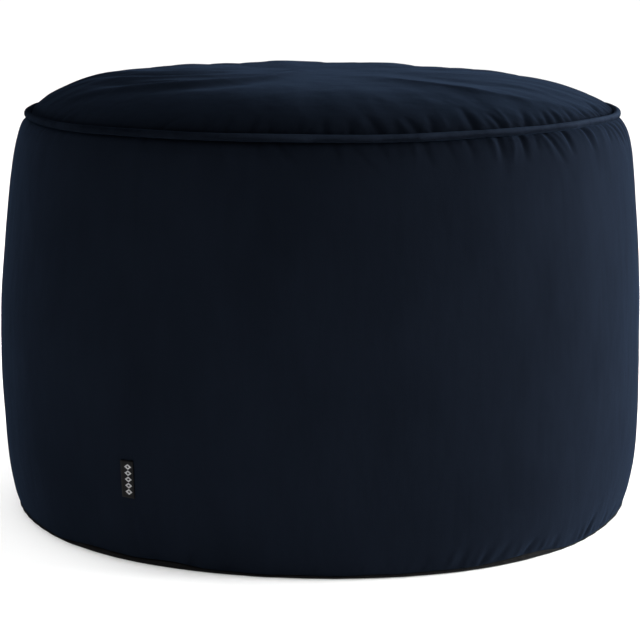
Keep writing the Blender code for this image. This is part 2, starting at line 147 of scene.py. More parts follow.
CROWN_FOLDS = [
    Fold((-0.020, 0.010), (-0.050, -0.170), (-0.182, -0.078), 0.0034, 0.009),
    Fold((-0.020, -0.010), (-0.045, -0.190), (-0.182, -0.096), -0.0010, 0.010),
    Fold((-0.047, -0.040), (-0.084, -0.131), (-0.168, -0.058), -0.0030, 0.007),
    Fold((-0.062, -0.030), (-0.092, -0.085), (-0.174, -0.034), 0.0022, 0.008),
    Fold((-0.080, -0.018), (-0.110, -0.054), (-0.172, -0.008), -0.0022, 0.008),
    Fold((-0.060, 0.012), (-0.117, -0.032), (-0.172, 0.016), 0.0016, 0.010),
    Fold((-0.050, 0.038), (-0.085, -0.001), (-0.150, 0.036), -0.0014, 0.011),
    Fold((0.052, -0.060), (0.105, -0.172), (0.203, -0.094), 0.0007, 0.0045),
    Fold((0.046, -0.046), (0.105, -0.172), (0.203, -0.094), 0.0024, 0.016),
    Fold((0.058, 0.000), (0.100, -0.118), (0.186, -0.072), -0.0007, 0.009),
    Fold((0.060, 0.025), (0.110, -0.020), (0.185, -0.006), 0.0010, 0.018),
    Fold((0.020, 0.060), (0.060, 0.110), (0.080, 0.180), 0.0007, 0.018),
    Fold((-0.020, 0.065), (-0.040, 0.120), (-0.070, 0.180), 0.0010, 0.018),
    Fold((0.000, 0.070), (0.012, 0.130), (0.005, 0.185), 0.0008, 0.015),
    Fold((0.020, 0.040), (0.060, 0.060), (0.130, 0.100), -0.0008, 0.010),
    Fold((-0.030, 0.045), (-0.080, 0.085), (-0.110, 0.150), -0.0008, 0.010),
    Fold((0.090, 0.050), (0.120, 0.080), (0.130, 0.130), 0.0006, 0.020),
    Fold((-0.090, 0.060), (-0.120, 0.080), (-0.140, 0.110), 0.0006, 0.020),
]
FOLD_STEPS = 60
FOLD_END_SHARE = 0.12

# Gathers, where the cloth is drawn in at a seam, and the puffs between them, which have a depth
# below zero. Lean is the sideways run for each metre away from the seam.
Gather = namedtuple("Gather", "azimuth width length depth lean")

SIDE_GATHERS = [
    Gather(-108.0, 0.0026, 0.017, 0.0005, 0.30),
    Gather(-101.6, 0.0022, 0.018, 0.0008, 0.50),
    Gather(-100.0, 0.0020, 0.018, -0.0007, 0.85),
    Gather(-98.2, 0.0022, 0.017, 0.0010, 0.80),
    Gather(-92.5, 0.0026, 0.017, 0.0005, 0.20),
    Gather(-88.0, 0.0024, 0.020, 0.0009, 0.10),
    Gather(-86.0, 0.0025, 0.024, 0.0008, 0.80),
    Gather(-80.5, 0.0026, 0.020, 0.0006, 0.30),
    Gather(-77.0, 0.0024, 0.018, 0.0005, -0.10),
    Gather(-74.1, 0.0016, 0.020, -0.0006, -0.05),
    Gather(-72.7, 0.0026, 0.022, 0.0010, 0.20),
    Gather(-68.6, 0.0026, 0.020, 0.0006, 0.25),
    Gather(-64.2, 0.0024, 0.020, 0.0008, 0.05),
    Gather(-59.3, 0.0018, 0.021, -0.0011, 0.00),
    Gather(-57.5, 0.0022, 0.020, 0.0017, -0.14),
    Gather(-54.6, 0.0020, 0.021, -0.0013, -0.30),
    Gather(-52.4, 0.0022, 0.020, 0.0018, -0.20),
    Gather(-48.9, 0.0017, 0.014, 0.0011, -0.36),
    Gather(-48.0, 0.0017, 0.024, -0.0010, 0.34),
    Gather(-46.6, 0.0021, 0.025, 0.0018, 0.45),
    Gather(-44.2, 0.0018, 0.018, -0.0010, 0.46),
    Gather(-41.4, 0.0021, 0.020, 0.0021, 0.10),
    Gather(-34.9, 0.0021, 0.020, 0.0017, 0.20),
    Gather(-32.9, 0.0017, 0.017, -0.0010, 0.07),
    Gather(-28.8, 0.0033, 0.019, -0.0006, -0.10),
    Gather(-25.0, 0.0021, 0.017, 0.0012, -0.30),
    Gather(-23.8, 0.0017, 0.020, -0.0010, 0.50),
    Gather(-21.6, 0.0021, 0.022, 0.0015, 0.70),
]
CROWN_GATHERS = [
    Gather(-113.4, 0.0017, 0.018, -0.0006, -0.10),
    Gather(-111.6, 0.0022, 0.020, 0.0007, -0.10),
    Gather(-109.6, 0.0018, 0.020, -0.0006, 0.00),
    Gather(-107.6, 0.0025, 0.022, 0.0009, 0.05),
    Gather(-103.0, 0.0028, 0.024, 0.0008, 0.10),
    Gather(-99.4, 0.0031, 0.020, 0.0005, -0.10),
    Gather(-94.6, 0.0028, 0.020, 0.0006, 0.10),
    Gather(-89.9, 0.0025, 0.022, 0.0009, 0.05),
    Gather(-85.2, 0.0025, 0.018, 0.0009, 0.00),
    Gather(-82.8, 0.0021, 0.018, -0.0005, -0.10),
    Gather(-79.9, 0.0035, 0.028, 0.0012, -0.25),
    Gather(-76.6, 0.0022, 0.015, 0.0008, 0.00),
    Gather(-74.6, 0.0018, 0.022, -0.0003, -0.25),
    Gather(-72.7, 0.0027, 0.023, 0.0010, -0.27),
    Gather(-70.0, 0.0028, 0.026, 0.0010, 0.10),
    Gather(-67.4, 0.0025, 0.031, -0.0004, 0.10),
    Gather(-62.0, 0.0034, 0.037, 0.0016, 0.16),
    Gather(-58.4, 0.0021, 0.020, 0.0004, 0.10),
    Gather(-55.9, 0.0027, 0.026, 0.0012, 0.00),
    Gather(-54.2, 0.0020, 0.033, -0.0006, 0.20),
    Gather(-50.4, 0.0034, 0.028, 0.0014, 0.60),
    Gather(-46.4, 0.0022, 0.020, 0.0006, 0.30),
    Gather(-44.6, 0.0023, 0.022, 0.0010, 0.62),
    Gather(-41.2, 0.0027, 0.024, 0.0011, 0.40),
    Gather(-39.3, 0.0017, 0.022, -0.0004, 0.28),
    Gather(-36.4, 0.0027, 0.022, 0.0010, 0.50),
    Gather(-30.6, 0.0028, 0.024, 0.0009, 0.50),
    Gather(-26.6, 0.0021, 0.018, -0.0006, 0.60),
    Gather(-22.8, 0.0025, 0.024, 0.0012, 0.87),
    Gather(-20.6, 0.0017, 0.022, -0.0006, 0.80),
]
BASE_GATHERS = [
    Gather(-119.0, 0.0031, 0.013, 0.0007, 0.10),
    Gather(-113.0, 0.0022, 0.014, 0.0014, 0.20),
    Gather(-106.0, 0.0031, 0.013, 0.0006, 0.30),
    Gather(-97.0, 0.0037, 0.011, 0.0004, 0.20),
    Gather(-88.0, 0.0037, 0.011, 0.0004, 0.30),
    Gather(-80.0, 0.0035, 0.013, 0.0006, 0.30),
    Gather(-73.5, 0.0031, 0.014, 0.0007, 0.35),
    Gather(-68.8, 0.0019, 0.017, -0.0012, 0.38),
    Gather(-66.8, 0.0025, 0.016, 0.0013, 0.36),
    Gather(-63.9, 0.0019, 0.016, -0.0008, 0.40),
    Gather(-62.6, 0.0019, 0.014, 0.0007, 0.40),
    Gather(-61.2, 0.0016, 0.016, -0.0008, 0.45),
    Gather(-59.4, 0.0027, 0.016, 0.0011, 0.60),
    Gather(-55.5, 0.0016, 0.014, -0.0008, 0.38),
    Gather(-53.5, 0.0027, 0.014, 0.0014, 0.60),
    Gather(-49.6, 0.0016, 0.013, -0.0009, 0.31),
    Gather(-46.8, 0.0029, 0.014, 0.0009, 0.40),
    Gather(-41.6, 0.0031, 0.014, 0.0006, 0.40),
    Gather(-38.2, 0.0017, 0.014, -0.0012, 0.37),
    Gather(-36.2, 0.0021, 0.017, 0.0020, 0.60),
    Gather(-29.0, 0.0031, 0.013, 0.0006, 0.45),
]
GATHER_BLUNTNESS = 0.54  # below 1, a gather is deepest in the half nearer to its seam
GATHER_SHARPNESS = 1.4  # 2 would be a rounded valley, 1 a crease
GATHER_REACH = 4.5  # widths from its line at which a gather has faded out
TAIL_WIDTH = 2.4  # the soft furrow that runs on from each gather, in widths, lengths and depths
TAIL_LENGTH = 1.8
TAIL_DEPTH = 0.13
PUFF_SHARE = 0.20  # how far the cloth stands up beside a gather, as a share of its depth
PUFF_PLACE = 2.1  # widths from the line
PUFF_WIDTH = 1.1  # widths

# The gathers that fill up the rest of a round, where the photo shows none: the mean distance
# between them in degrees, a typical one, and the seed of their chance.
Filling = namedtuple("Filling", "spacing typical seed")

SIDE_FILLING = Filling(5.0, Gather(0, 0.0025, 0.026, 0.0015, 0.0), 5)
CROWN_FILLING = Filling(5.0, Gather(0, 0.0026, 0.026, 0.0013, 0.0), 8)
BASE_FILLING = Filling(6.8, Gather(0, 0.0026, 0.018, 0.0012, 0.0), 3)
PUFF_CHANCE = 0.6  # how many of them have a puff beside them
PUFF_DEPTH_SHARE = -0.42

# The fine puckers all along a seam
PUCKER_LENGTH = 0.010
PUCKER_DEPTH = 0.0006
PUCKER_WIDTH_SHARE = 0.55  # of a typical gather's width

# The front left, where the cloth lies almost flat at its seams
FLAT_AZIMUTH = -147.0
FLAT_SPREAD = 34.0
FLAT_CALM = 0.8  # how much of a gather is lost there
FLAT_PUCKER_CALM = 0.5


def turned(angle):
    """Angles brought between -180 and 180 degrees."""
    return (angle + 180) % 360 - 180


def swing(waves, azimuth):
    return sum(w.size * np.cos(w.turns * np.radians(azimuth - w.azimuth)) for w in waves)


def flatness(azimuth):
    """1 where the cloth lies almost flat at its seams, at the front left, and 0 elsewhere."""
    return np.exp(-(turned(azimuth - FLAT_AZIMUTH) / FLAT_SPREAD) ** 4)


def filled_round(placed, filling):
    """The placed gathers, and more of them over the rest of the round at an uneven spacing."""
    spacing, typical, seed = filling
    chance = Random(seed)
    last_free = min(g.azimuth for g in placed) + 360 - 0.7 * spacing
    gathers = list(placed)
    azimuth = max(g.azimuth for g in placed) + 0.8 * spacing
    while azimuth < last_free:
        share = chance.uniform(0.5, 1.0) * (1 - FLAT_CALM * flatness(azimuth))
        lean = chance.uniform(-0.35, 0.75)
        width = typical.width * chance.uniform(0.8, 1.2)
        length = typical.length * (0.35 + 0.65 * share)
        gathers.append(Gather(azimuth, width, length, typical.depth * share, lean))
        if chance.random() < PUFF_CHANCE:
            beside = azimuth - chance.uniform(0.42, 0.6) * spacing
            puff = PUFF_DEPTH_SHARE * typical.depth * share
            gathers.append(Gather(beside, 0.75 * width, 0.9 * length, puff, lean))
        azimuth += spacing * chance.uniform(0.72, 1.28)
    return gathers + fine_puckers(typical, chance)


def fine_puckers(typical, chance):
    """The small creases all along a seam, between the gathers."""
    puckers = []
    azimuth = -180.0
    while azimuth < 180:
        share = chance.uniform(0.3, 1.0) * (1 - FLAT_PUCKER_CALM * flatness(azimuth))
        lean = chance.uniform(-0.5, 0.7)
        width = PUCKER_WIDTH_SHARE * typical.width * chance.uniform(0.8, 1.2)
        puckers.append(Gather(azimuth, width, PUCKER_LENGTH * share, PUCKER_DEPTH * share, lean))
        azimuth += chance.uniform(1.1, 2.4)
    return puckers


SIDE_ROUND = filled_round(SIDE_GATHERS, SIDE_FILLING)
CROWN_ROUND = filled_round(CROWN_GATHERS, CROWN_FILLING)
BASE_ROUND = filled_round(BASE_GATHERS, BASE_FILLING)


def seam_height(azimuth):
    return SEAM_HEIGHT + swing(TOP_SEAM_WAVES, azimuth)


def base_seam_height(azimuth):
    places = [place.azimuth for place in BASE_SEAM]
    heights = [place.height for place in BASE_SEAM]
    near = (-1.6, -0.8, 0.0, 0.8, 1.6)
    return sum(np.interp(azimuth + off, places, heights, period=360) for off in near) / len(near)


def base_spread(azimuth):
    """How far the lower edge stands out from or in under its round, for an azimuth."""
    tucked = sum(
        tuck.depth * np.exp(-(turned(azimuth - tuck.azimuth) / tuck.spread) ** 2)
        for tuck in BASE_TUCKS
    )
    return swing(BASE_OUTLINE_WAVES, azimuth) - tucked


def smooth_through(table, places):
    """Places along a smooth line through the rows of a table, measured from its first row."""
    rows = np.array(table, float)
    steps = np.hypot(np.diff(rows[:, 0]), np.diff(rows[:, 1]))
    along = np.concatenate([[0.0], np.cumsum(steps)])
    slopes = np.gradient(rows, along, axis=0)
    k = np.clip(np.searchsorted(along, places, side="right") - 1, 0, len(along) - 2)
    width = along[k + 1] - along[k]
    t = ((places - along[k]) / width)[:, None]
    width = width[:, None]
    return (
        (2 * t ** 3 - 3 * t ** 2 + 1) * rows[k]
        + (t ** 3 - 2 * t ** 2 + t) * width * slopes[k]
        + (3 * t ** 2 - 2 * t ** 3) * rows[k + 1]
        + (t ** 3 - t ** 2) * width * slopes[k + 1]
    )


def length_of(table):
    rows = np.array(table, float)
    return float(np.hypot(np.diff(rows[:, 0]), np.diff(rows[:, 1])).sum())


def row_places(length, fine_start, fine_step, fine_end, end_step, middle_step):
    """Distances from the first seam of the rows of a panel, close together near its seams."""
    start = np.arange(0, fine_start, fine_step)
    end = length - np.arange(0, fine_end, end_step)[::-1] if fine_end else np.array([length])
    count = max(2, round((end[0] - start[-1]) / middle_step))
    middle = np.linspace(start[-1], end[0], count + 1)[1:-1]
    return np.concatenate([start, middle, end])


def pulled(gathers, azimuth, distance, radius):
    """How far the cloth is drawn in by its gathers, at a distance from their seam."""
    drawn = np.zeros_like(azimuth)
    for g in gathers:
        line = g.azimuth + np.degrees(g.lean * distance / radius)
        off = np.radians(turned(azimuth - line)) * radius / g.width
        near = np.abs(off) < GATHER_REACH * TAIL_WIDTH
        near &= (distance > 0) & (distance < g.length * TAIL_LENGTH)
        if not near.any():
            continue
        off, from_seam = off[near], distance[near] / g.length
        along = np.sin(pi * np.clip(from_seam, 0, 1) ** GATHER_BLUNTNESS)
        valley = np.exp(-np.abs(off) ** GATHER_SHARPNESS)
        puffs = np.exp(-((np.abs(off) - PUFF_PLACE) / PUFF_WIDTH) ** 2)
        shape = along * (valley - PUFF_SHARE * puffs)
        tail = np.sin(pi * np.clip(from_seam / TAIL_LENGTH, 0, 1))
        shape += TAIL_DEPTH * tail * np.exp(-(off / TAIL_WIDTH) ** 2)
        drawn[near] += g.depth * shape
    return drawn


def lumps(points, size, seed):
    """Soft unevenness of the filling, between about -1 and 1, with lumps of a given size."""
    shift = Vector((seed * 3.7, seed * 1.9, seed * 2.3))
    return np.array([noise.noise(Vector(p) / size + shift) for p in points])


def uneven(points, kinds):
    """The sum of several kinds of lumps, each with its height, its size and its seed."""
    return sum(height * lumps(points, size, seed) for height, size, seed in kinds)


def fold_rise(x, y):
    """How much the folds raise or lower the top at places in plan."""
    raised = np.zeros_like(x)
    share = np.linspace(0, 1, FOLD_STEPS + 1)
    along = np.sin(pi * (FOLD_END_SHARE + (1 - 2 * FOLD_END_SHARE) * share))
    for fold in CROWN_FOLDS:
        start, bend, end = (np.array(p)[:, None] for p in (fold.start, fold.bend, fold.end))
        line = start * (1 - share) ** 2 + 2 * bend * share * (1 - share) + end * share ** 2
        nearest = np.full_like(x, np.inf)
        strength = np.zeros_like(x)
        for px, py, rise in zip(line[0], line[1], along):
            distance = np.hypot(x - px, y - py)
            closer = distance < nearest
            nearest[closer] = distance[closer]
            strength[closer] = rise
        raised += fold.rise * strength * np.exp(-(nearest / fold.width) ** 2)
    return raised


# How finely the pieces are divided
ROUND_COLUMNS = 864
WELT_SIDES = 16
BASE_COLUMNS = 448
DOUBLINGS = 5
DOUBLE = 0.000001  # corners nearer than this are one
INNER_RADII = (0.0, 0.12, 0.20)  # rounds of the flat, hidden side of a panel

# Lumps of the filling under the cloth: height, size and seed
SIDE_LUMPS = ((0.0011, 0.085, 2), (0.00035, 0.027, 4))
CROWN_LUMPS = ((0.0006, 0.075, 6), (0.0002, 0.026, 7))
LUMP_CLEARANCE = 0.030  # over which the side's lumps fade out towards a seam

# The upright seam: a groove between two low swells, with slight puckers beside it
SEAM_GROOVE = 0.0007
SEAM_GROOVE_WIDTH = 0.0015
SEAM_SWELL = 0.0001
SEAM_PUCKER = 0.00012
SEAM_PUCKER_STEP = 0.0135

# The Cloth simulation that fills the top
CLOTH_COLUMNS = 96
CLOTH_CELL = 0.005
CLOTH_UNEVENNESS = 0.0006
CLOTH_HELD = 0.0035  # height up to which the cloth is held by its seam
CLOTH_SPARE = 0.02  # how much larger the cloth is cut, as a share of its size
CLOTH_PRESSURE = 4.0
CLOTH_FRAMES = 20
CLOTH_RING = 0.006  # width of the rounds that the creases are measured from
CLOTH_SHARE = 0.5  # how much of a crease is kept
CLOTH_CAP = 0.0016
FRONT_AZIMUTH = -90.0  # about it, the folds of the photo leave little room for other creases
FRONT_SPREAD = 85.0
FRONT_CALM = 0.72

# The piping's creases, and the half of it that is painted with light, towards the right lamps
WELT_CREASE = 0.055
WELT_CREASE_WIDTH = 0.0011
WELT_SWELL = 0.07
PAINTED_LIGHT_AZIMUTH = -25.0  # the middle of the half painted paler, towards the right lamps
SHADE_AND_PRESS_DARKENING = 150.0  # tone lost for each metre of pressed pile and painted shade

# The base cloth's turned-up edge, from its seam down: radius, and share of the seam's height
BASE_EDGE = (
    (0.2406, 1.0), (0.2409, 0.82), (0.2407, 0.62), (0.2403, 0.42), (0.2396, 0.20),
    (0.2380, 0.04), (0.2350, 0.0),
)
BASE_FLAT_RADII = (0.225, 0.20, 0.15, 0.10, 0.05, 0.0)
BASE_WRINKLE = 0.00025
BASE_WRINKLES = 71  # in one round


def turn_round(mesh, columns):
    """Turns the line in a mesh once round the upright axis: one slice is spun, then doubled."""
    whole = 2 * pi
    line = mesh.verts[:] + mesh.edges[:]
    bmesh.ops.spin(
        mesh, geom=line, cent=(0, 0, 0), axis=(0, 0, 1), angle=whole / 2 ** DOUBLINGS,
        steps=columns // 2 ** DOUBLINGS, use_merge=False,
    )
    for done in range(DOUBLINGS):
        slices = mesh.verts[:] + mesh.edges[:] + mesh.faces[:]
        copy = bmesh.ops.duplicate(mesh, geom=slices)["geom"]
        corners = [part for part in copy if isinstance(part, bmesh.types.BMVert)]
        turn = Matrix.Rotation(whole / 2 ** (DOUBLINGS - done), 3, "Z")
        bmesh.ops.rotate(mesh, verts=corners, cent=(0, 0, 0), matrix=turn)
    bmesh.ops.remove_doubles(mesh, verts=mesh.verts, dist=DOUBLE)


def spun(section, columns):
    """A closed skin, made by turning a half section once round the upright axis."""
    mesh = bmesh.new()
    line = [mesh.verts.new((radius, 0, height)) for radius, height in section]
    for pair in zip(line, line[1:]):
        mesh.edges.new(pair)
    turn_round(mesh, columns)
    return mesh


def corners_of(mesh):
    """Azimuth, radius and height of each corner of a spun mesh."""
    places = np.array([vert.co[:] for vert in mesh.verts])
    azimuth = np.degrees(np.arctan2(places[:, 1], places[:, 0]))
    return azimuth, np.hypot(places[:, 0], places[:, 1]), places[:, 2]


def on_round(radius, azimuth, height, sideways):
    turn = np.radians(azimuth)
    return np.column_stack([radius * np.cos(turn) + sideways, radius * np.sin(turn), height])


def finished(name, mesh, places, material, node, pile_and_shade=None):
    """Moves the corners to their places and puts the piece into the scene."""
    for vert, place in zip(mesh.verts, places):
        vert.co = place
    bmesh.ops.recalc_face_normals(mesh, faces=mesh.faces)
    data = bpy.data.meshes.new(name)
    mesh.to_mesh(data)
    mesh.free()
    data.shade_smooth()
    # these values darken the velvet's tone: pressed pile, and painted shade in the gathers' valleys
    # and on the piping, where values below zero paint light
    if pile_and_shade is not None:
        shade_and_pressed = data.attributes.new("pressed_pile_and_painted_shade", "FLOAT", "POINT")
        shade_and_pressed.data.foreach_set("value", np.asarray(pile_and_shade, np.float32))
    data.materials.append(material)
    piece = bpy.data.objects.new(name, data)
    bpy.context.scene.collection.objects.link(piece)
    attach(piece, "root")
    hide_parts(node)
    return piece


def side_radius(height, azimuth, radius):
    """The side band's radius, uneven round the pouf but true at the top seam."""
    below_top = seam_height(azimuth) - height
    above_base = height - base_seam_height(azimuth)
    clear = np.clip(np.minimum(below_top, above_base) / SEAM_PULL, 0, 1)
    near_base = np.clip(1 - above_base / BASE_SPREAD, 0, 1)
    radius = radius + swing(OUTLINE_WAVES, azimuth) * clear
    return radius + base_spread(azimuth) * near_base


def side_places(azimuth, radius, height):
    """The corners of the side band, with gathers, upright seam and soft lumps."""
    heights = [row.height for row in SIDE_SECTION][::-1]
    sideways = np.interp(height, heights, [row.sideways for row in SIDE_SECTION][::-1])
    below_top = SEAM_HEIGHT - height
    above_base = height - BASE_SEAM_HEIGHT
    wall = side_radius(height, azimuth, radius)
    drawn = pulled(SIDE_ROUND, azimuth, below_top, SEAM_RADIUS)
    drawn += pulled(BASE_ROUND, azimuth, above_base, BASE_SEAM_RADIUS)

    off = np.radians(turned(azimuth - UPRIGHT_SEAM_AZIMUTH)) * radius
    seam = SEAM_GROOVE * np.exp(-np.abs(off / SEAM_GROOVE_WIDTH) ** 1.3)
    seam -= SEAM_SWELL * np.exp(-((np.abs(off) - 0.0045) / 0.0030) ** 2)
    wandering = 2.2 * np.sin(height * 41)
    puckers = SEAM_PUCKER * np.sin(height * 2 * pi / SEAM_PUCKER_STEP + wandering)
    seam += puckers * np.exp(-((np.abs(off) - 0.0055) / 0.0050) ** 2)

    open_wall = np.clip(np.minimum(below_top, above_base) / LUMP_CLEARANCE, 0, 1)
    soft = uneven(on_round(radius, azimuth, height, sideways), SIDE_LUMPS) * open_wall
    lid = radius < np.interp(height, heights, [row.radius for row in SIDE_SECTION][::-1]) - 0.0005

    wall = np.where(lid, radius, wall - drawn - seam * np.clip(above_base / 0.004, 0, 1) + soft)
    rise = swing(TOP_SEAM_WAVES, azimuth) * np.clip(1 - below_top / SEAM_PULL, 0, 1)
    sink = base_seam_height(azimuth) - BASE_SEAM_HEIGHT
    sink *= np.clip(1 - above_base / BASE_SEAM_PULL, 0, 1)
    inwards = np.where(lid, (radius / SEAM_RADIUS) ** 4, 1.0)
    up = height + (rise + sink) * inwards
    up += np.where(below_top < 0.001, -GAP / 2, 0) + np.where(above_base < 0.001, GAP / 2, 0)
    return on_round(wall, azimuth, up, sideways), np.where(lid, 0, drawn)


def make_side_band(material):
    """The filled side of the pouf, from the base seam up to the welt."""
    places = row_places(length_of(SIDE_SECTION), 0.046, 0.00115, 0.033, 0.0014, 0.0056)
    wall = smooth_through([(r.radius, r.height) for r in SIDE_SECTION], places)
    wall[0] = SEAM_RADIUS, SEAM_HEIGHT
    wall[-1] = BASE_SEAM_RADIUS, BASE_SEAM_HEIGHT
    lid = [(inner, SEAM_HEIGHT) for inner in INNER_RADII]
    floor = [(inner, BASE_SEAM_HEIGHT) for inner in reversed(INNER_RADII)]
    mesh = spun(lid + [tuple(p) for p in wall] + floor, ROUND_COLUMNS)
    corners, drawn = side_places(*corners_of(mesh))
    # the gathers' depth also darkens the velvet's tone: pressed pile, and painted shade in their
    # valleys; the puffs come out paler
    piece = finished("velvet_side_band", mesh, corners, material, "side_band", drawn)
    return piece


def cloth_cover(rows):
    """The top's cloth in even cells, slightly uneven so that it creases as it likes."""
    mesh = spun(rows, CLOTH_COLUMNS)
    bmesh.ops.recalc_face_normals(mesh, faces=mesh.faces)
    data = bpy.data.meshes.new("top_cloth")
    mesh.to_mesh(data)
    mesh.free()
    cover = bpy.data.objects.new("top_cloth", data)
    bpy.context.scene.collection.objects.link(cover)
    cells = cover.modifiers.new("cells", "REMESH")
    cells.mode = "VOXEL"
    cells.voxel_size = CLOTH_CELL
    whole = cover.evaluated_get(bpy.context.evaluated_depsgraph_get())
    cover.data = bpy.data.meshes.new_from_object(whole)
    cover.modifiers.clear()
    places = np.array([vert.co[:] for vert in cover.data.vertices])
    outwards = np.array([vert.normal[:] for vert in cover.data.vertices])
    places += outwards * (CLOTH_UNEVENNESS * lumps(places, 0.02, 0))[:, None]
    cover.data.vertices.foreach_set("co", places.ravel())
    cover.data.update()
    return cover, places, outwards


def settled_top():
    """How the top's cloth creases when it is filled, from the Cloth simulation.

    The cloth is cut a little larger than its seam, held there and pressed out from inside. Gives
    its corners before it settles, and how far each then stands out from the mean of its round.
    """
    rows = [(0.0, 0.0), (0.20, 0.0)] + [tuple(row) for row in CROWN_SECTION]
    cover, places, outwards = cloth_cover(rows)
    held = cover.vertex_groups.new(name="seam")
    held.add(np.nonzero(places[:, 2] < CLOTH_HELD)[0].tolist(), 1.0, "REPLACE")
    cloth = cover.modifiers.new("cloth", "CLOTH")
    cloth.settings.quality = 6
    cloth.settings.bending_stiffness = 0.05
    cloth.settings.use_pressure = True
    cloth.settings.uniform_pressure_force = CLOTH_PRESSURE
    cloth.settings.effector_weights.gravity = 0
    cloth.settings.shrink_min = cloth.settings.shrink_max = -CLOTH_SPARE
    cloth.settings.vertex_group_mass = held.name
    cloth.collision_settings.use_collision = False
    cloth.point_cache.frame_start, cloth.point_cache.frame_end = 1, CLOTH_FRAMES
    scene = bpy.context.scene
    for moment in range(1, CLOTH_FRAMES + 1):
        scene.frame_set(moment)
    filled = cover.evaluated_get(bpy.context.evaluated_depsgraph_get()).to_mesh()
    settled = np.array([vert.co[:] for vert in filled.vertices])
    bpy.data.objects.remove(cover)
    scene.frame_set(1)

    upper = places[:, 2] > CLOTH_HELD
    places, moved = places[upper], ((settled - places) * outwards).sum(axis=1)[upper]
    radius = np.hypot(places[:, 0], places[:, 1])
    ring = (radius / CLOTH_RING).astype(int)
    middles = (np.arange(ring.max() + 1) + 0.5) * CLOTH_RING
    means = np.array([moved[ring == k].mean() for k in range(len(middles))])
    return places, moved - np.interp(radius, middles, means)


def creases_of(settled, places):
    """The settled cloth's creases at other places, smoothed between its corners and capped."""
    corners, moved = settled
    tree = KDTree(len(corners))
    for number, corner in enumerate(corners):
        tree.insert(corner, number)
    tree.balance()
    creases = np.zeros(len(places))
    for number, place in enumerate(places):
        near = [(moved[k], np.exp(-(gap / CLOTH_CELL) ** 2)) for _, k, gap in tree.find_n(place, 7)]
        weight = sum(share for _, share in near)
        creases[number] = sum(value * share for value, share in near) / weight if weight > 0 else 0
    return CLOTH_CAP * np.tanh(creases * CLOTH_SHARE / CLOTH_CAP)


def crown_places(azimuth, radius, height, upper):
    """The corners of the round top, with its soft folds, gathers and lumps."""
    rows = smooth_through(CROWN_SECTION, np.linspace(0, length_of(CROWN_SECTION), 400))
    steps = np.hypot(np.diff(rows[:, 0]), np.diff(rows[:, 1]))
    along = np.concatenate([[0.0], np.cumsum(steps)])
    run = np.gradient(rows, along, axis=0)
    from_seam = np.interp(-radius, -rows[:, 0], along)
    out = np.interp(-radius, -rows[:, 0], run[:, 1])
    up = np.interp(-radius, -rows[:, 0], -run[:, 0])
    drawn = pulled(CROWN_ROUND, azimuth, from_seam, SEAM_RADIUS) * upper
    share = np.where(upper, height / CROWN_RISE, 0)
    soft = uneven(on_round(radius, azimuth, height, TOP_SIDEWAYS), CROWN_LUMPS) * share
    soft -= SHOULDER_TUCK * np.cos(np.radians(azimuth)) ** 2 * np.sin(pi * share) ** 2
    moved = -drawn
    creases = creases_of(settled_top(), on_round(radius, azimuth, height, 0)[upper])
    at_front = np.exp(-(turned(azimuth[upper] - FRONT_AZIMUTH) / FRONT_SPREAD) ** 6)
    moved[upper] += creases * (1 - FRONT_CALM * at_front)
    wide = radius + moved * out
    corners = on_round(wide, azimuth, height, TOP_SIDEWAYS)
    edge = (radius / SEAM_RADIUS) ** 4
    shoulder = share * (radius / SEAM_RADIUS) ** 2
    corners[:, 2] = SEAM_HEIGHT + GAP / 2 + height + moved * up + soft
    corners[:, 2] += swing(TOP_SEAM_WAVES, azimuth) * edge + swing(CROWN_WAVES, azimuth) * shoulder
    corners[:, 2] += fold_rise(corners[:, 0], corners[:, 1]) * share
    return corners, drawn


def make_top_panel(material):
    """The crowned round top, from the welt inwards, closed underneath."""
    places = row_places(length_of(CROWN_SECTION), 0.056, 0.0012, 0, 0, 0.0046)
    crown = smooth_through(CROWN_SECTION, places)
    crown[0] = SEAM_RADIUS, 0.0
    crown[-1] = 0.0, CROWN_RISE
    hidden = [(inner, 0.0) for inner in INNER_RADII]
    mesh = spun(hidden + [tuple(p) for p in crown], ROUND_COLUMNS)
    azimuth, radius, height = corners_of(mesh)
    upper = height > DOUBLE
    corners, drawn = crown_places(azimuth, radius, height, upper)
    # the gathers' depth also darkens the velvet's tone: pressed pile, and painted shade in their
    # valleys; the puffs come out paler
    piece = finished("velvet_top", mesh, corners, material, "top_panel", drawn)
    return piece


